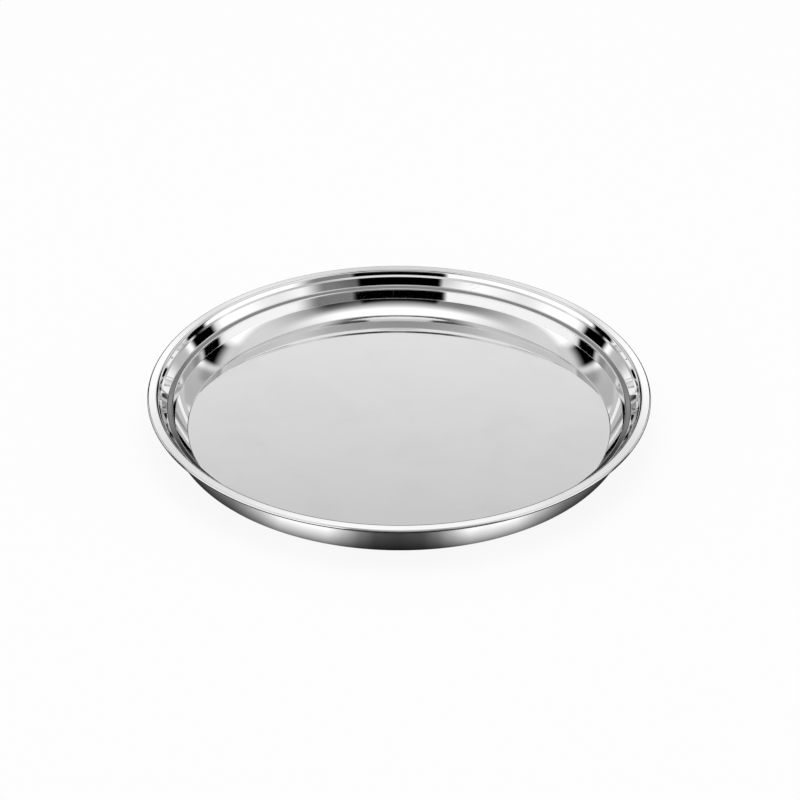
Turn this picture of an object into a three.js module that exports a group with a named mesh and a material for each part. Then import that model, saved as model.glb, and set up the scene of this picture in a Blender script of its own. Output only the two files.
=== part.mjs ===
// Round steel platter with two walls: an inner pan and an outer shell, each pressed from thin sheet.
// The pan's rim is folded round the shell's lip, and this hem is the only seam.
// Millimetres, +Z up. The origin is the centre of the flat foot that the platter stands on.
import * as THREE from 'three';

// Overall sizes
const RIM_DIAMETER = 300;
const OVERALL_HEIGHT = 25.8;
const SHEET = 0.5;

// Clearances between the two sheets
const SEAM_CLEARANCE = 0.3; // between the layers of the hem
const WALL_CLEARANCE = 0.45; // between the walls just under the rim
const FLOOR_CLEARANCE = 1.0; // between the serving panel and the foot
const HEM_TIP_CLEARANCE = 1.3; // from the folded edge to the shell's wall

// Inner pan from the rim down to the panel. Slopes are degrees from the horizontal.
const FLANGE_WIDTH = 6.1;
const FLANGE_FALL = 3; // the flange falls a little outwards
const BAND_DROP = 3.0; // the short wall right under the rim
const BAND_SLOPE = 64;
const STEP_WIDTH = 0.9; // the narrow step between the band and the upper wall
const STEP_SLOPE = 49;
const UPPER_WALL_DROP = 4.35;
const UPPER_WALL_SLOPE = 54;
const LEDGE_WIDTH = 3.3;
const LEDGE_SLOPE = 15;
const LOWER_WALL_SLOPE = 80.5;
const KNEE_SLOPE = 52.5; // top of the cove, where it meets the lower wall
const TOE_SLOPE = 44.5; // foot of the cove, where it meets the panel

// Outer shell
const FOOT_INSET = 0.4; // how far the foot's corner lies inside the ledge's edge

// Radii inside the bends
const RIM_EDGE_RADIUS = 1.6; // the flange's inner edge
const STEP_RADIUS = 0.3;
const LEDGE_CORNER_RADIUS = 1.0;
const LEDGE_EDGE_RADIUS = 0.5;
const KNEE_RADIUS = 1.0;
const CREASE_RADIUS = 1.0;
const COVE_RADIUS = 75;
const FOOT_RADIUS = 6.5;

// Facets
const SEGMENTS = 64;
const CHORD_ERROR = 0.06;

const radians = THREE.MathUtils.degToRad;
const slopeOf = (degrees) => Math.tan(radians(degrees));
const tangentLength = (radius, turn) => radius * Math.tan(radians(turn) / 2);

// A point of a section: x is the radius and y the height.
const point = (r, z) => new THREE.Vector2(r, z);
const along = (degrees) => point(Math.cos(radians(degrees)), Math.sin(radians(degrees)));
const moved = (from, way, length) => from.clone().addScaledVector(way, length);
const downSlope = (from, drop, slope) => point(from.x - drop / slopeOf(slope), from.y - drop);
const acrossSlope = (from, width, slope) => point(from.x - width, from.y - width * slopeOf(slope));

// Heights and the rim's layers
const panelTop = 2 * SHEET + FLOOR_CLEARANCE;
const rimRadius = RIM_DIAMETER / 2;
const hemHeight = 3 * SHEET + 2 * SEAM_CLEARANCE;
const hemInside = hemHeight / 2 - SHEET;
const lipDepth = 2 * SHEET + SEAM_CLEARANCE; // from the flange's face to the lip's face
const lipRadius = RIM_EDGE_RADIUS - SEAM_CLEARANCE - SHEET; // nests inside the flange's bend

// Corners of the pan's upper face, each worked out from the one outside it
const flangeInner = point(rimRadius - FLANGE_WIDTH, OVERALL_HEIGHT);
const bandFoot = downSlope(flangeInner, BAND_DROP, BAND_SLOPE);
const stepInner = acrossSlope(bandFoot, STEP_WIDTH, STEP_SLOPE);
const ledgeOuter = downSlope(stepInner, UPPER_WALL_DROP, UPPER_WALL_SLOPE);
const ledgeInner = acrossSlope(ledgeOuter, LEDGE_WIDTH, LEDGE_SLOPE);
const coveSide = tangentLength(COVE_RADIUS, KNEE_SLOPE - TOE_SLOPE);
const toeLength = coveSide + tangentLength(CREASE_RADIUS, TOE_SLOPE);
const riseLength = coveSide + tangentLength(KNEE_RADIUS, LOWER_WALL_SLOPE - KNEE_SLOPE);
const kneeHeight = toeLength * Math.sin(radians(TOE_SLOPE)) + riseLength * Math.sin(radians(KNEE_SLOPE));
const knee = downSlope(ledgeInner, ledgeInner.y - panelTop - kneeHeight, LOWER_WALL_SLOPE);
const cove = moved(knee, along(KNEE_SLOPE), -riseLength);
const crease = moved(cove, along(TOE_SLOPE), -toeLength);

// The hem leans with the flange. Its folded edge is round about a point half a hem under the flange's face.
const outwards = along(-FLANGE_FALL);
const down = along(-FLANGE_FALL - 90);
const foldRadius = rimRadius - hemHeight / 2;
const flangeAtFold = OVERALL_HEIGHT - (foldRadius - flangeInner.x) * slopeOf(FLANGE_FALL);
const fold = point(foldRadius, flangeAtFold - hemHeight / 2 / Math.cos(radians(FLANGE_FALL)));
const edgeTop = moved(moved(fold, outwards, hemHeight / 2), down, -hemHeight / 2);
const edgeFoot = moved(edgeTop, down, hemHeight);

// The shell's wall meets its lip where it clears the back of the pan's band.
const underFlange = moved(flangeInner, down, lipDepth);
const besideBand = moved(flangeInner, along(BAND_SLOPE - 90), 2 * SHEET + WALL_CLEARANCE);
const bandWay = along(BAND_SLOPE);
const lipRun = besideBand.clone().sub(underFlange).cross(bandWay) / outwards.cross(bandWay);
const lipRoot = moved(underFlange, outwards, lipRun);
const lipEnd = moved(fold, down, lipDepth - hemHeight / 2);
const hemTip = moved(moved(lipRoot, down, hemHeight - lipDepth), outwards, HEM_TIP_CLEARANCE);
const footCorner = point(ledgeInner.x - FOOT_INSET, 0);

// A corner of a sheet's face, where its straight runs would meet, and the radius inside its bend.
function corner(at, inside = 0) {
  return { at, inside };
}

// Follows a face through its corners with an arc at each bend. The sheet lies on the left of the face
// for side 1 and on the right for side -1. Each point keeps the unit vector through the sheet.
function facePoints(corners, side) {
  const points = [];
  const leftOf = (heading) => point(-heading.y, heading.x);
  const add = (at, heading) => {
    const last = points.at(-1);
    if (last && last.at.distanceTo(at) < 1e-6) return;
    points.push({ at, through: leftOf(heading).multiplyScalar(side) });
  };
  const headings = corners.slice(1).map((next, i) => next.at.clone().sub(corners[i].at).normalize());
  add(corners[0].at, headings[0]);
  for (let i = 1; i < corners.length - 1; i++) {
    const [before, after] = [headings[i - 1], headings[i]];
    const turn = Math.atan2(before.cross(after), before.dot(after));
    const hand = Math.sign(turn);
    const radius = corners[i].inside + (hand === side ? SHEET : 0);
    const start = moved(corners[i].at, before, -radius * Math.tan(Math.abs(turn) / 2));
    const centre = moved(start, leftOf(before), hand * radius);
    const steps = Math.ceil(Math.abs(turn) / (2 * Math.acos(1 - CHORD_ERROR / radius)));
    for (let k = 0; k <= steps; k++) {
      const heading = before.clone().rotateAround(point(0, 0), (turn * k) / steps);
      add(moved(centre, leftOf(heading), -hand * radius), heading);
    }
  }
  add(corners.at(-1).at, headings.at(-1));
  return points;
}

// Turns a sheet, given by the corners of one face, about the Z axis.
function turnedSheet(name, corners, side, material) {
  const points = facePoints(corners, side);
  const face = points.map(({ at }) => at);
  const back = points.map(({ at, through }) => moved(at, through, SHEET));
  const [lower, upper] = side > 0 ? [face, back] : [back, face];
  const geometry = new THREE.LatheGeometry([...lower, ...upper.reverse()], SEGMENTS);
  geometry.rotateX(Math.PI / 2);
  const mesh = new THREE.Mesh(geometry, material);
  mesh.name = name;
  return mesh;
}

function innerPan() {
  const corners = [
    corner(point(0, panelTop)),
    corner(crease, CREASE_RADIUS),
    corner(cove, COVE_RADIUS),
    corner(knee, KNEE_RADIUS),
    corner(ledgeInner, LEDGE_EDGE_RADIUS),
    corner(ledgeOuter, LEDGE_CORNER_RADIUS),
    corner(stepInner, STEP_RADIUS),
    corner(bandFoot, STEP_RADIUS),
    corner(flangeInner, RIM_EDGE_RADIUS),
    corner(edgeTop, hemInside),
    corner(edgeFoot, hemInside),
    corner(hemTip),
  ];
  const mirrorSteel = new THREE.MeshStandardMaterial({ color: 0xd4d6d8, roughness: 0.05, metalness: 1 });
  return turnedSheet('inner_pan', corners, -1, mirrorSteel);
}

function outerShell() {
  const corners = [
    corner(point(0, 0)),
    corner(footCorner, FOOT_RADIUS),
    corner(lipRoot, lipRadius),
    corner(lipEnd),
  ];
  const polishedSteel = new THREE.MeshStandardMaterial({ color: 0xc4c6c8, roughness: 0.15, metalness: 1 });
  return turnedSheet('outer_shell', corners, 1, polishedSteel);
}

const platter = new THREE.Group();
platter.add(innerPan(), outerShell());

export default platter;
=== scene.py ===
"""A round platter with two walls of mirror-polished stainless steel, in a plain white studio."""
from math import acos, atan, ceil, cos, pi, radians, sin, tan

import bpy
import numpy as np
from mathutils import Matrix, Vector


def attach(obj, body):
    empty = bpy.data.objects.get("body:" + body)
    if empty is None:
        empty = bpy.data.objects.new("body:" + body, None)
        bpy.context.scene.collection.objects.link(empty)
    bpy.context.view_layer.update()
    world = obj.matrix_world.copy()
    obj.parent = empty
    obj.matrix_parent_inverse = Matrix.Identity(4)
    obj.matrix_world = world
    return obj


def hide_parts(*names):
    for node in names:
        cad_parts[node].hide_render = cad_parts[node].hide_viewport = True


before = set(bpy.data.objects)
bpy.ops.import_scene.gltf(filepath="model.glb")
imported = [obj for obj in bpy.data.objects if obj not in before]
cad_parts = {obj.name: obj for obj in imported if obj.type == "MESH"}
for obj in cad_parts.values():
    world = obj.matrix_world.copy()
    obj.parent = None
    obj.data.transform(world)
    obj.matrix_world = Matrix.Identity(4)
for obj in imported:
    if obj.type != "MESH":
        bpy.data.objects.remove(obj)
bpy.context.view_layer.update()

# Sizes in millimetres, the same as the solids' own
MM = 0.001
RIM_DIAMETER = 300.0
OVERALL_HEIGHT = 25.8
SHEET = 0.5
SEAM_CLEARANCE = 0.3  # between the layers of the hem
WALL_CLEARANCE = 0.45  # between the walls just under the rim
FLOOR_CLEARANCE = 1.0  # between the serving panel and the foot
HEM_TIP_CLEARANCE = 1.3  # from the folded edge to the shell's wall

# Inner pan from the rim down to the panel. Slopes are degrees from the horizontal.
FLANGE_WIDTH = 6.1
FLANGE_FALL = 3.0  # the flange falls a little outwards
BAND_DROP = 3.0  # the short wall right under the rim
BAND_SLOPE = 64.0
STEP_WIDTH = 0.9  # the narrow step between the band and the upper wall
STEP_SLOPE = 49.0
UPPER_WALL_DROP = 4.35
UPPER_WALL_SLOPE = 54.0
LEDGE_WIDTH = 3.3
LEDGE_SLOPE = 15.0
LOWER_WALL_SLOPE = 80.5
KNEE_SLOPE = 52.5  # top of the cove, where it meets the lower wall
TOE_SLOPE = 44.5  # foot of the cove, where it meets the panel

# Outer shell
FOOT_INSET = 0.4  # how far the foot's corner lies inside the ledge's edge

# Radii inside the bends
RIM_EDGE_RADIUS = 1.6  # the flange's inner edge
STEP_RADIUS = 0.3
LEDGE_CORNER_RADIUS = 1.0
LEDGE_EDGE_RADIUS = 0.5
KNEE_RADIUS = 1.0
CREASE_RADIUS = 1.0
COVE_RADIUS = 75.0
FOOT_RADIUS = 6.5

# Fineness of the turned surfaces
SEGMENTS = 384
CHORD_ERROR = 0.0015
CUT_EDGE_STEPS = 6
SAME_POINT = 1e-6

# Finish of the steel: sizes in millimetres, and the noise levels between which a mark sets in
PATCH_MM = 38.0
PATCH_FROM, PATCH_FULL = 0.42, 0.72
WHEEL_MM = 0.7
SCRATCH_MM = 21.0
SCRATCH_BEND = 9.0
SCRATCH_WIDTH = 0.16
SCRATCH_FROM, SCRATCH_FULL = 0.56, 0.66
SCRATCH_ROUGH = 0.10
WAVE_MM = 32.0

# The photograph's frame in pixels and the camera that fits it, in metres and degrees
IMAGE_SIDE = 800
SENSOR = 36.0  # in millimetres
CAMERA_DISTANCE = 1.8
CAMERA_ELEVATION = 32.39
FOCAL_PIXELS = 2995.0
CAMERA_ROLL = 0.21
PANEL_CENTRE_PIXEL = (399.07, 422.0)

# Brightness of the studio against elevation in degrees: towards the camera, to both sides and towards the
# back. The first is measured about an axis that leans to the back. Azimuths are counted from the camera,
# and between those given here one brightness passes into the next.
FRONT_LEVELS = [(0, 1.0), (30.5, 1.0), (31.5, 0.2), (35, 0.18), (38, 0.26), (40.5, 0.56), (43, 0.95),
                (50.5, 1.0), (54, 0.12), (60, 0.04), (90, 0.02)]
SIDE_LEVELS = [(0, 1.0), (29, 1.0), (34, 0.62), (55, 0.6), (72, 0.72), (78, 0.1), (90, 0.03)]
BACK_LEVELS = [(0, 0.85), (26.5, 0.78), (29.3, 1.0), (34.7, 0.69), (37, 0.7), (40.5, 0.92), (54, 0.85),
               (76, 0.85), (80, 0.15), (90, 0.03)]
FRONT_LEAN = 11.0
SIDE_FROM, SIDE_TO = 35.0, 85.0
BACK_FROM, BACK_TO = 112.0, 135.0
STUDIO_LEVEL = 1.3

# Dark gaps in the studio. Each has its azimuths, half width, softness of its sides, foot, top and softness
# of these two, all in degrees, and then how dark it is. A gap right behind is written at both ends of the
# scale of azimuths, where it meets itself.
GROUND = -90.0  # foot of a gap that reaches all the way down
GAPS = [
    ((0.0,), 22.3, 1.8, GROUND, 47.0, 1.8, 0.72),
    ((0.0,), 22.3, 1.8, GROUND, 13.5, 1.0, 1.0),
    ((0.0,), 22.3, 1.8, 20.0, 25.5, 1.0, 1.0),
    ((0.0,), 22.3, 1.8, 34.0, 47.0, 1.8, 1.0),
    ((32.5,), 14.5, 7.0, GROUND, 46.0, 4.0, 0.8),
    ((108.0, -108.0), 7.0, 1.8, GROUND, 27.0, 4.3, 1.0),
    ((112.0, -112.0), 14.0, 3.0, 17.0, 33.0, 4.0, 0.38),
    ((130.0, -130.0), 11.0, 2.0, 5.0, 52.0, 3.0, 0.5),
    ((155.5, -155.5), 9.5, 2.0, GROUND, 30.0, 5.0, 1.0),
    ((180.0, -180.0), 6.5, 1.5, 26.0, 38.3, 0.8, 0.24),
    ((180.0, -180.0), 14.0, 3.0, GROUND, 22.5, 3.0, 0.8),
]

# A dark ring round the part of the studio, right behind, that the panel and the flange show, in degrees.
# It is narrower than high by the squeeze.
RING_ELEVATION = 31.5
RING_SQUEEZE = 1.26
RING_INNER, RING_OUTER = 13.0, 30.5
RING_EDGE = 1.0
RING_DEPTH = 0.75

# A soft panel straight above the platter, from an elevation in degrees
OVERHEAD_FROM = 83.0
OVERHEAD_EDGE = 1.0
OVERHEAD_LEVEL = 0.7

# Floor: half its side in metres, its colour, and how far it is plain white to the camera and in the steel
FLOOR_HALF = 8.0
FLOOR_COLOUR = "#f4f4f4"
FLOOR_WHITE = 0.9

# Lamp over the floor, in metres and watts
LAMP_SIZE = 2.0
LAMP_HEIGHT = 2.5
LAMP_WATTS = 20.0

# Ring card on the floor round the foot, seen only in the steel, that paints the floor's reflection: painted
# shadow under the foot and right in front, and painted lit floor to both sides. Sizes are in millimetres.
# Its brightness goes by the angle from the front in degrees, grows outwards from near to clear, and then
# fades.
CARD_LEVELS = [(0, 0.055), (6, 0.075), (10, 0.2), (14, 0.55), (18, 1.0), (31, 1.0), (37, 0.6), (46, 0.25),
               (60, 0.12), (90, 0.08), (180, 0.2)]
CARD_INNER, CARD_OUTER, CARD_Z = 133.5, 600.0, 0.05
CARD_STEPS = 96
CARD_NEAR, CARD_CLEAR = 136.5, 144.5
CARD_NEAR_GLOW, CARD_CLEAR_GLOW = 0.28, 1.4
CARD_FADE_FROM, CARD_FADE_TO = 152.0, 159.0
CARD_FADED = 0.03

# Node settings that are used often
TIMES = {"operation": "MULTIPLY"}
TIMES_PLUS = {"operation": "MULTIPLY_ADD"}
MINUS = {"operation": "SUBTRACT"}
SIZE_OF = {"operation": "ABSOLUTE"}
LENGTH = {"operation": "LENGTH"}
SMOOTH = {"interpolation_type": "SMOOTHSTEP"}
NUMBERS = {"data_type": "FLOAT"}

panel_top = 2 * SHEET + FLOOR_CLEARANCE
rim_radius = RIM_DIAMETER / 2
hem_height = 3 * SHEET + 2 * SEAM_CLEARANCE
hem_inside = hem_height / 2 - SHEET
lip_depth = 2 * SHEET + SEAM_CLEARANCE  # from the flange's face to the lip's face
lip_radius = RIM_EDGE_RADIUS - SEAM_CLEARANCE - SHEET  # nests inside the flange's bend


def slope_of(angle):
    """Rise over run of a slope in degrees."""
    return tan(radians(angle))


def along(slope):
    """Unit vector outwards and up a slope given in degrees."""
    return np.array([cos(radians(slope)), sin(radians(slope))])


def tangent(radius, turn):
    """Length from a corner to the start of its arc, for a turn in degrees."""
    return radius * tan(radians(turn) / 2)


def down_slope(start, drop, slope):
    """The point a given drop down an inward slope."""
    return start - [drop / slope_of(slope), drop]


def across_slope(start, width, slope):
    """The point a given width inwards across a slope."""
    return start - [width, width * slope_of(slope)]


def sheet_paths():
    """Corners (place, radius inside the bend) of the pan's upper face and of the shell's outer face, each
    from the axis to the sheet's cut edge. Each corner of the pan is worked out from the one outside it, and
    the panel takes what is left in the middle. The shell's wall meets its lip where it clears the back of
    the pan's band."""
    flange = np.array([rim_radius - FLANGE_WIDTH, OVERALL_HEIGHT])
    band_foot = down_slope(flange, BAND_DROP, BAND_SLOPE)
    step = across_slope(band_foot, STEP_WIDTH, STEP_SLOPE)
    ledge_outer = down_slope(step, UPPER_WALL_DROP, UPPER_WALL_SLOPE)
    ledge_inner = across_slope(ledge_outer, LEDGE_WIDTH, LEDGE_SLOPE)
    cove_side = tangent(COVE_RADIUS, KNEE_SLOPE - TOE_SLOPE)
    toe = (cove_side + tangent(CREASE_RADIUS, TOE_SLOPE)) * along(TOE_SLOPE)
    rise = (cove_side + tangent(KNEE_RADIUS, LOWER_WALL_SLOPE - KNEE_SLOPE)) * along(KNEE_SLOPE)
    knee = down_slope(ledge_inner, ledge_inner[1] - panel_top - toe[1] - rise[1], LOWER_WALL_SLOPE)
    cove = knee - rise
    crease = cove - toe

    # The hem leans with the flange and is round about a point half a hem under the flange's face.
    out, down = along(-FLANGE_FALL), along(-FLANGE_FALL - 90)
    half = hem_height / 2
    fold_radius = rim_radius - half
    flange_at_fold = OVERALL_HEIGHT - (fold_radius - flange[0]) * slope_of(FLANGE_FALL)
    fold = np.array([fold_radius, flange_at_fold - half / cos(radians(FLANGE_FALL))])
    below = flange + down * lip_depth
    beside = flange + along(BAND_SLOPE - 90) * (2 * SHEET + WALL_CLEARANCE)
    run = np.linalg.solve(np.stack([out, -along(BAND_SLOPE)], axis=1), beside - below)[0]
    lip_root = below + out * run
    tip = lip_root + down * (hem_height - lip_depth) + out * HEM_TIP_CLEARANCE

    pan = [((0, panel_top), 0), (crease, CREASE_RADIUS), (cove, COVE_RADIUS), (knee, KNEE_RADIUS),
           (ledge_inner, LEDGE_EDGE_RADIUS), (ledge_outer, LEDGE_CORNER_RADIUS), (step, STEP_RADIUS),
           (band_foot, STEP_RADIUS), (flange, RIM_EDGE_RADIUS), (fold + (out - down) * half, hem_inside),
           (fold + (out + down) * half, hem_inside), (tip, 0)]
    shell = [((0, 0), 0), ((ledge_inner[0] - FOOT_INSET, 0), FOOT_RADIUS), (lip_root, lip_radius),
             (fold + down * (lip_depth - half), 0)]
    return pan, shell


def left_of(heading):
    """The unit vectors a quarter turn to the left of the headings."""
    return np.stack([-heading[..., 1], heading[..., 0]], axis=-1)


def sheet_outline(corners, side):
    """Closed section of a bent sheet, as points and outward normals, from the axis along its face and back.
    Straight runs join the corners. An arc of the inside radius, or that plus the sheet where the face is
    outside, rounds each bend. The back lies one sheet away on the left (side 1) or right (side -1), and a
    half circle of half the sheet closes the cut edge."""
    at = np.array([place for place, _ in corners], dtype=float)
    runs = np.diff(at, axis=0)
    headings = runs / np.linalg.norm(runs, axis=1)[:, None]
    points, ways = [at[:1]], [headings[:1]]
    for place, (_, inside), before, after in zip(at[1:-1], corners[1:-1], headings[:-1], headings[1:]):
        turn = np.arctan2(before[0] * after[1] - before[1] * after[0], before @ after)
        hand = np.sign(turn)
        radius = inside + (SHEET if hand == side else 0)
        centre = place - before * radius * tan(abs(turn) / 2) + left_of(before) * hand * radius
        steps = ceil(abs(turn) / (2 * acos(1 - CHORD_ERROR / radius)))
        angle = np.arctan2(before[1], before[0]) + turn * np.linspace(0, 1, steps + 1)
        way = np.stack([np.cos(angle), np.sin(angle)], axis=-1)
        points.append(centre - left_of(way) * hand * radius)
        ways.append(way)
    points.append(at[-1:])
    ways.append(headings[-1:])
    face, way = np.concatenate(points), np.concatenate(ways)
    through = left_of(way) * side
    bend = np.linspace(0, pi, CUT_EDGE_STEPS + 1)[1:-1, None]
    cut = -np.cos(bend) * through[-1] + np.sin(bend) * way[-1]
    cut_points = face[-1] + through[-1] * SHEET / 2 + cut * SHEET / 2
    outline = np.concatenate([face, cut_points, (face + through * SHEET)[::-1]])
    normals = np.concatenate([-through, cut, through[::-1]])
    apart = np.r_[True, np.linalg.norm(np.diff(outline, axis=0), axis=1) > SAME_POINT]
    return outline[apart], normals[apart]


def turned_sheet(name, corners, side):
    """Turns a sheet's section about the Z axis: a point at radius r and height z goes to
    (r cos t, r sin t, z). The first and last points lie on the axis and become the two poles."""
    outline, normals = sheet_outline(corners, side)
    around = 2 * pi * np.arange(SEGMENTS) / SEGMENTS
    spoke = np.stack([np.cos(around), np.sin(around)], axis=-1)

    def turn(section):
        """Every inner point of the section at every angle, after the two poles."""
        inner = section[1:-1, None]
        across = inner[..., :1] * spoke
        up = np.broadcast_to(inner[..., 1:], (*across.shape[:2], 1))
        poles = [[0, 0, section[0, 1]], [0, 0, section[-1, 1]]]
        return np.concatenate([poles, np.concatenate([across, up], axis=-1).reshape(-1, 3)])

    rings = len(outline) - 2
    index = 2 + np.arange(rings * SEGMENTS).reshape(rings, SEGMENTS)
    beside = np.roll(index, -1, axis=1)
    quads = np.stack([index[:-1], beside[:-1], beside[1:], index[1:]], axis=-1).reshape(-1, 4)
    first = np.stack([np.zeros(SEGMENTS, int), beside[0], index[0]], axis=-1)
    last = np.stack([np.ones(SEGMENTS, int), index[-1], beside[-1]], axis=-1)
    if side < 0:
        quads, first, last = quads[:, ::-1], first[:, ::-1], last[:, ::-1]
    mesh = bpy.data.meshes.new(name)
    mesh.from_pydata(turn(outline) * MM, [], [*first.tolist(), *quads.tolist(), *last.tolist()])
    mesh.shade_smooth()
    mesh.normals_split_custom_set_from_vertices(turn(normals))
    piece = bpy.data.objects.new(name, mesh)
    bpy.context.collection.objects.link(piece)
    return piece


def linear(code):
    """Linear colour of an sRGB hex code."""
    srgb = np.array([int(code[i:i + 2], 16) for i in (1, 3, 5)]) / 255
    return (*np.where(srgb <= 0.04045, srgb / 12.92, ((srgb + 0.055) / 1.055) ** 2.4).tolist(), 1.0)


def add_node(tree, kind, settings=None, **inputs):
    """Adds a node with its settings. An input is a value, or the output socket that feeds it; a name that
    starts with in_ is the number of the socket."""
    node = tree.nodes.new(kind)
    for name, value in (settings or {}).items():
        setattr(node, name, value)
    for name, value in inputs.items():
        socket = node.inputs[int(name[3:]) if name.startswith("in_") else name.replace("_", " ")]
        if isinstance(value, bpy.types.NodeSocket):
            tree.links.new(value, socket)
        else:
            socket.default_value = value
    return node


def polished_steel(name, colour, worn, smooth, hazy, lines, waves):
    """Stainless steel sheet polished on a turning wheel. The eye gets a clear mirror whose edges waver a
    little where the pressed sheet is not quite flat, a thin haze in soft patches where it was wiped, fine
    rings round the axis from the wheel, and a few hair scratches. colour and worn are the clean and the
    hazy tint, smooth and hazy the roughness of each, lines how much the rings change it, and waves the
    height of the sheet's waves in mm."""
    material = bpy.data.materials.new(name)
    material.use_nodes = True
    tree = material.node_tree
    shader = tree.nodes["Principled BSDF"]
    shader.inputs["Metallic"].default_value = 1.0
    place = add_node(tree, "ShaderNodeTexCoord").outputs["Object"]
    in_mm = add_node(tree, "ShaderNodeVectorMath", {"operation": "SCALE"}, in_0=place,
                     Scale=1 / MM).outputs[0]
    plan = add_node(tree, "ShaderNodeVectorMath", TIMES, in_0=in_mm, in_1=(1, 1, 0)).outputs[0]
    radius = add_node(tree, "ShaderNodeVectorMath", LENGTH, in_0=plan).outputs["Value"]

    # Wiped patches
    patches = add_node(tree, "ShaderNodeTexNoise", Vector=in_mm, Scale=1 / PATCH_MM, Detail=4.0,
                       Roughness=0.6, Distortion=0.6).outputs[0]
    haze = add_node(tree, "ShaderNodeMapRange", SMOOTH, Value=patches, From_Min=PATCH_FROM,
                    From_Max=PATCH_FULL).outputs[0]

    # Rings of the polishing wheel. Real ones are finer; these are as coarse as they need to be to show.
    rings = add_node(tree, "ShaderNodeTexNoise", {"noise_dimensions": "1D"}, W=radius, Scale=1 / WHEEL_MM,
                     Detail=3.0, Roughness=0.7).outputs[0]
    rings = add_node(tree, "ShaderNodeMath", MINUS, in_0=rings, in_1=0.5).outputs[0]

    # Hair scratches: the thin borders between bent cells, kept only where a second noise is high
    bent = add_node(tree, "ShaderNodeTexNoise", Vector=in_mm, Scale=1 / PATCH_MM,
                    Detail=1.0).outputs["Color"]
    bent = add_node(tree, "ShaderNodeVectorMath", TIMES_PLUS, in_0=bent, in_1=(SCRATCH_BEND,) * 3,
                    in_2=in_mm).outputs[0]
    hairs = add_node(tree, "ShaderNodeTexVoronoi", {"feature": "DISTANCE_TO_EDGE"}, Vector=bent,
                     Scale=1 / SCRATCH_MM).outputs["Distance"]
    hairs = add_node(tree, "ShaderNodeMapRange", Value=hairs, From_Min=0.0,
                     From_Max=SCRATCH_WIDTH / SCRATCH_MM, To_Min=1.0, To_Max=0.0).outputs[0]
    kept = add_node(tree, "ShaderNodeTexNoise", Vector=in_mm, Scale=1 / SCRATCH_MM, Detail=2.0).outputs[0]
    kept = add_node(tree, "ShaderNodeMapRange", SMOOTH, Value=kept, From_Min=SCRATCH_FROM,
                    From_Max=SCRATCH_FULL).outputs[0]
    hairs = add_node(tree, "ShaderNodeMath", TIMES, in_0=hairs, in_1=kept).outputs[0]

    # Haze tints and roughens, and the wheel's rings and the scratches change the roughness further
    tint = add_node(tree, "ShaderNodeMix", {"data_type": "RGBA"}, in_0=haze, in_6=linear(colour),
                    in_7=linear(worn)).outputs[2]
    rough = add_node(tree, "ShaderNodeMapRange", Value=haze, To_Min=smooth, To_Max=hazy).outputs[0]
    rough = add_node(tree, "ShaderNodeMath", TIMES_PLUS, in_0=rings, in_1=lines, in_2=rough).outputs[0]
    rough = add_node(tree, "ShaderNodeMath", {**TIMES_PLUS, "use_clamp": True}, in_0=hairs,
                     in_1=SCRATCH_ROUGH, in_2=rough).outputs[0]

    # Waves of the pressed sheet
    swell = add_node(tree, "ShaderNodeTexNoise", Vector=in_mm, Scale=1 / WAVE_MM, Detail=1.0).outputs[0]
    wavy = add_node(tree, "ShaderNodeBump", Strength=1.0, Distance=waves * MM, Height=swell).outputs[0]

    tree.links.new(tint, shader.inputs["Base Color"])
    tree.links.new(rough, shader.inputs["Roughness"])
    tree.links.new(wavy, shader.inputs["Normal"])
    return material


def azimuth_of(tree, way):
    """Angle of a direction or place round the Z axis, from the camera's side and to both hands."""
    parts = add_node(tree, "ShaderNodeSeparateXYZ", Vector=way).outputs
    toward = add_node(tree, "ShaderNodeMath", TIMES, in_0=parts["Y"], in_1=-1.0).outputs[0]
    return add_node(tree, "ShaderNodeMath", {"operation": "ARCTAN2"}, in_0=parts["X"],
                    in_1=toward).outputs[0]


def elevation_of(tree, way, lean):
    """Angle of a direction above the plane square to an axis that leans to the back, in degrees."""
    axis = (0, sin(radians(lean)), cos(radians(lean)))
    upward = add_node(tree, "ShaderNodeVectorMath", {"operation": "DOT_PRODUCT"}, in_0=way,
                      in_1=axis).outputs["Value"]
    return add_node(tree, "ShaderNodeMath", {"operation": "ARCSINE"}, in_0=upward).outputs[0]


def level_at(tree, angle, levels, full):
    """Brightness at an angle, from pairs of an angle and a level that go from 0 to full degrees."""
    share = add_node(tree, "ShaderNodeMath", {"operation": "DIVIDE", "use_clamp": True}, in_0=angle,
                     in_1=radians(full)).outputs[0]
    ramp = add_node(tree, "ShaderNodeValToRGB", Fac=share)
    elements = ramp.color_ramp.elements
    while len(elements) < len(levels):
        elements.new(1.0)
    for element, (place, level) in zip(elements, levels):
        element.position = place / full
        element.color = (level, level, level, 1)
    return ramp.outputs["Color"]


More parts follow.
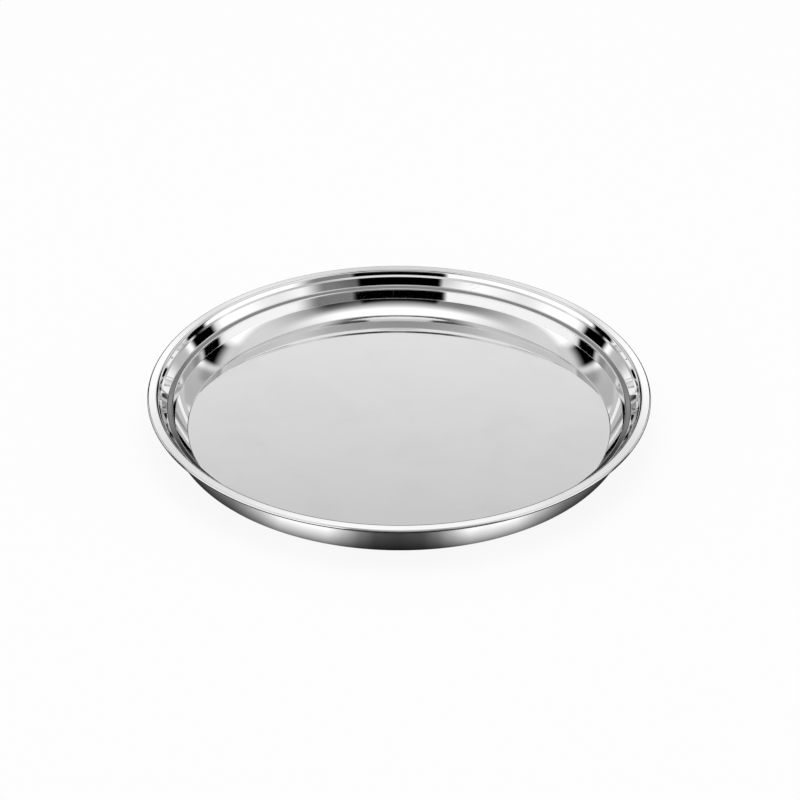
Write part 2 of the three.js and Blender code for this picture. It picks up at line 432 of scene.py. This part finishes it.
def with_gap(tree, level, azimuth, elevation, centre, gap):
    """The level with a dark gap in it: what the gap covers is darker by its depth, softly at the edges."""
    half_width, side_edge, foot, top, edge, depth = gap
    away = add_node(tree, "ShaderNodeMath", MINUS, in_0=azimuth, in_1=radians(centre)).outputs[0]
    away = add_node(tree, "ShaderNodeMath", SIZE_OF, in_0=away).outputs[0]
    across = add_node(tree, "ShaderNodeMapRange", SMOOTH, Value=away,
                      From_Min=radians(half_width - side_edge), From_Max=radians(half_width + side_edge),
                      To_Min=1.0, To_Max=0.0).outputs[0]
    under = add_node(tree, "ShaderNodeMapRange", SMOOTH, Value=elevation, From_Min=radians(top - edge),
                     From_Max=radians(top + edge), To_Min=1.0, To_Max=0.0).outputs[0]
    covered = add_node(tree, "ShaderNodeMath", TIMES, in_0=across, in_1=under).outputs[0]
    if foot > GROUND:
        over = add_node(tree, "ShaderNodeMapRange", SMOOTH, Value=elevation, From_Min=radians(foot - edge),
                        From_Max=radians(foot + edge)).outputs[0]
        covered = add_node(tree, "ShaderNodeMath", TIMES, in_0=covered, in_1=over).outputs[0]
    clear = add_node(tree, "ShaderNodeMath", TIMES_PLUS, in_0=covered, in_1=-depth, in_2=1.0).outputs[0]
    return add_node(tree, "ShaderNodeMath", TIMES, in_0=level, in_1=clear).outputs[0]


def with_ring(tree, level, around, elevation):
    """The level with the dark ring in it: an ellipse about a point right behind, by distances in angle."""
    aside = add_node(tree, "ShaderNodeMath", MINUS, in_0=pi, in_1=around).outputs[0]
    aside = add_node(tree, "ShaderNodeMath", TIMES, in_0=aside, in_1=RING_SQUEEZE).outputs[0]
    above = add_node(tree, "ShaderNodeMath", MINUS, in_0=elevation, in_1=radians(RING_ELEVATION)).outputs[0]
    flat = add_node(tree, "ShaderNodeCombineXYZ", X=aside, Y=above).outputs[0]
    apart = add_node(tree, "ShaderNodeVectorMath", LENGTH, in_0=flat).outputs["Value"]
    start = add_node(tree, "ShaderNodeMapRange", SMOOTH, Value=apart,
                     From_Min=radians(RING_INNER - RING_EDGE),
                     From_Max=radians(RING_INNER + RING_EDGE)).outputs[0]
    stop = add_node(tree, "ShaderNodeMapRange", SMOOTH, Value=apart,
                    From_Min=radians(RING_OUTER - RING_EDGE), From_Max=radians(RING_OUTER + RING_EDGE),
                    To_Min=RING_DEPTH, To_Max=0.0).outputs[0]
    ring = add_node(tree, "ShaderNodeMath", TIMES, in_0=start, in_1=stop).outputs[0]
    clear = add_node(tree, "ShaderNodeMath", MINUS, in_0=1.0, in_1=ring).outputs[0]
    return add_node(tree, "ShaderNodeMath", TIMES, in_0=level, in_1=clear).outputs[0]


def studio_world():
    """White all round to the camera. Reflections and light see soft panels with dark gaps between them."""
    world = bpy.data.worlds.new("white_studio")
    world.use_nodes = True
    bpy.context.scene.world = world
    tree = world.node_tree
    background = tree.nodes["Background"]
    background.inputs["Color"].default_value = (1, 1, 1, 1)
    way = add_node(tree, "ShaderNodeTexCoord").outputs["Generated"]
    azimuth = azimuth_of(tree, way)
    around = add_node(tree, "ShaderNodeMath", SIZE_OF, in_0=azimuth).outputs[0]
    elevation = elevation_of(tree, way, 0)
    leaning = elevation_of(tree, way, FRONT_LEAN)

    # Panels in front, to both sides and at the back
    beside = add_node(tree, "ShaderNodeMapRange", SMOOTH, Value=around, From_Min=radians(SIDE_FROM),
                      From_Max=radians(SIDE_TO)).outputs[0]
    behind = add_node(tree, "ShaderNodeMapRange", SMOOTH, Value=around, From_Min=radians(BACK_FROM),
                      From_Max=radians(BACK_TO)).outputs[0]
    front, side, back = (level_at(tree, angle, levels, 90) for angle, levels in
                         ((leaning, FRONT_LEVELS), (elevation, SIDE_LEVELS), (elevation, BACK_LEVELS)))
    level = add_node(tree, "ShaderNodeMix", NUMBERS, Factor=beside, in_2=front, in_3=side).outputs[0]
    level = add_node(tree, "ShaderNodeMix", NUMBERS, Factor=behind, in_2=level, in_3=back).outputs[0]

    # Dark gaps and the dark ring, and the panel overhead
    for centres, *gap in GAPS:
        for centre in centres:
            level = with_gap(tree, level, azimuth, elevation, centre, gap)
    level = with_ring(tree, level, around, elevation)
    overhead = add_node(tree, "ShaderNodeMapRange", SMOOTH, Value=elevation,
                        From_Min=radians(OVERHEAD_FROM - OVERHEAD_EDGE),
                        From_Max=radians(OVERHEAD_FROM + OVERHEAD_EDGE)).outputs[0]
    level = add_node(tree, "ShaderNodeMix", NUMBERS, Factor=overhead, in_2=level,
                     in_3=OVERHEAD_LEVEL).outputs[0]

    lit = add_node(tree, "ShaderNodeMath", TIMES, in_0=level, in_1=STUDIO_LEVEL).outputs[0]
    camera_ray = add_node(tree, "ShaderNodeLightPath").outputs["Is Camera Ray"]
    strength = add_node(tree, "ShaderNodeMix", NUMBERS, Factor=camera_ray, in_2=lit, in_3=1.0).outputs[0]
    tree.links.new(strength, background.inputs["Strength"])


def studio_floor():
    """A wide plain white floor under the platter."""
    mesh = bpy.data.meshes.new("floor")
    corners = [(x * FLOOR_HALF, y * FLOOR_HALF, 0) for x, y in ((-1, -1), (1, -1), (1, 1), (-1, 1))]
    mesh.from_pydata(corners, [], [(0, 1, 2, 3)])
    floor = bpy.data.objects.new("floor", mesh)
    bpy.context.collection.objects.link(floor)
    material = bpy.data.materials.new("white_floor")
    material.use_nodes = True
    tree = material.node_tree
    shader = tree.nodes["Principled BSDF"]
    shader.inputs["Base Color"].default_value = linear(FLOOR_COLOUR)
    shader.inputs["Roughness"].default_value = 1.0
    shader.inputs["Specular IOR Level"].default_value = 0.0
    rays = add_node(tree, "ShaderNodeLightPath").outputs
    seen = rays["Is Camera Ray"]
    for ray in ("Is Glossy Ray", "Is Transmission Ray"):
        seen = add_node(tree, "ShaderNodeMath", {"operation": "MAXIMUM"}, in_0=seen,
                        in_1=rays[ray]).outputs[0]
    share = add_node(tree, "ShaderNodeMath", TIMES, in_0=seen, in_1=FLOOR_WHITE).outputs[0]
    white = add_node(tree, "ShaderNodeEmission", Strength=1.0).outputs[0]
    mixed = add_node(tree, "ShaderNodeMixShader", in_0=share, in_1=shader.outputs[0], in_2=white).outputs[0]
    tree.links.new(mixed, tree.nodes["Material Output"].inputs["Surface"])
    mesh.materials.append(material)


def overhead_lamp():
    """A large soft lamp over the platter that lights the floor and is not seen in the steel."""
    data = bpy.data.lights.new("overhead", "AREA")
    data.shape = "DISK"
    data.size = LAMP_SIZE
    data.energy = LAMP_WATTS
    lamp = bpy.data.objects.new("overhead", data)
    bpy.context.collection.objects.link(lamp)
    lamp.location = (0, 0, LAMP_HEIGHT)
    lamp.visible_glossy = False
    lamp.visible_camera = False


def painted_reflection_card():
    """A ring lying on the floor round the foot, shown only in the steel as a painted reflection of the
    floor. It is painted shadow right in front and near the foot, painted lit floor to both sides of that,
    and dark again further round. It glows but lights nothing. Its two circles of points are joined by
    quads."""
    turn = 2 * pi * np.arange(CARD_STEPS) / CARD_STEPS
    spoke = np.stack([np.cos(turn), np.sin(turn)], axis=-1)
    height = np.full(CARD_STEPS, CARD_Z)
    rings = np.concatenate([np.c_[spoke * radius, height] for radius in (CARD_INNER, CARD_OUTER)])
    index = np.arange(CARD_STEPS)
    after = np.roll(index, -1)
    faces = np.stack([index, index + CARD_STEPS, after + CARD_STEPS, after], axis=-1)
    mesh = bpy.data.meshes.new("painted_reflection_card")
    mesh.from_pydata(rings * MM, [], faces.tolist())
    card = bpy.data.objects.new("painted_reflection_card", mesh)
    bpy.context.collection.objects.link(card)
    material = bpy.data.materials.new("painted_floor_shadow_and_light")
    material.use_nodes = True
    tree = material.node_tree
    place = add_node(tree, "ShaderNodeTexCoord").outputs["Object"]
    around = add_node(tree, "ShaderNodeMath", SIZE_OF, in_0=azimuth_of(tree, place)).outputs[0]
    # painted shade and light by angle: darkest right in front, brightest to both sides
    shade = level_at(tree, around, CARD_LEVELS, 180)
    radius = add_node(tree, "ShaderNodeVectorMath", LENGTH, in_0=place).outputs["Value"]
    # painted shadow under the foot: dimmer near the foot, full brightness clear of it
    clear = add_node(tree, "ShaderNodeMapRange", Value=radius, From_Min=CARD_NEAR * MM,
                     From_Max=CARD_CLEAR * MM, To_Min=CARD_NEAR_GLOW, To_Max=CARD_CLEAR_GLOW).outputs[0]
    fading = add_node(tree, "ShaderNodeMapRange", Value=radius, From_Min=CARD_FADE_FROM * MM,
                      From_Max=CARD_FADE_TO * MM, To_Min=1.0, To_Max=CARD_FADED).outputs[0]
    strength = add_node(tree, "ShaderNodeMath", TIMES, in_0=clear, in_1=fading).outputs[0]
    glow = add_node(tree, "ShaderNodeEmission", Color=shade, Strength=strength).outputs[0]
    tree.links.new(glow, tree.nodes["Material Output"].inputs["Surface"])
    mesh.materials.append(material)
    card.visible_camera = card.visible_diffuse = card.visible_shadow = card.visible_transmission = False


def photo_camera():
    """Camera at the photograph's angle, aimed so that the panel's centre falls on its pixel, and rolled."""
    data = bpy.data.cameras.new("camera")
    data.sensor_width = SENSOR
    data.lens = FOCAL_PIXELS * SENSOR / IMAGE_SIDE
    camera = bpy.data.objects.new("camera", data)
    bpy.context.collection.objects.link(camera)
    bpy.context.scene.camera = camera
    tilt = radians(CAMERA_ELEVATION)
    back = Vector((0, -cos(tilt), sin(tilt)))
    camera.location = Vector((0, 0, panel_top * MM)) + back * CAMERA_DISTANCE
    aside = atan((PANEL_CENTRE_PIXEL[0] - IMAGE_SIDE / 2) / FOCAL_PIXELS)
    below = atan((PANEL_CENTRE_PIXEL[1] - IMAGE_SIDE / 2) / FOCAL_PIXELS)
    level = (-back).to_track_quat("-Z", "Y").to_matrix()
    turn = (Matrix.Rotation(aside, 3, "Y") @ Matrix.Rotation(below, 3, "X")
            @ Matrix.Rotation(radians(CAMERA_ROLL), 3, "Z"))
    camera.rotation_euler = (level @ turn).to_euler()


pan_path, shell_path = sheet_paths()

# Mirror polish inside: what the pan shows keeps its edges
pan = turned_sheet("mirror_pan", pan_path, -1)
pan.data.materials.append(polished_steel(
    "mirror_polished_stainless_steel", colour="#e9e9e9", worn="#e6e6e6", smooth=0.025, hazy=0.04,
    lines=0.03, waves=0.02))
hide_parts("inner_pan")
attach(pan, "root")

# A plainer polish outside: what the shell shows is soft
shell = turned_sheet("polished_shell", shell_path, 1)
shell.data.materials.append(polished_steel(
    "polished_stainless_steel", colour="#dfdfdf", worn="#d8d8d8", smooth=0.10, hazy=0.15,
    lines=0.06, waves=0.012))
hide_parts("outer_shell")
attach(shell, "root")

studio_world()
studio_floor()
overhead_lamp()
painted_reflection_card()
photo_camera()

bpy.context.scene.view_settings.view_transform = "Standard"
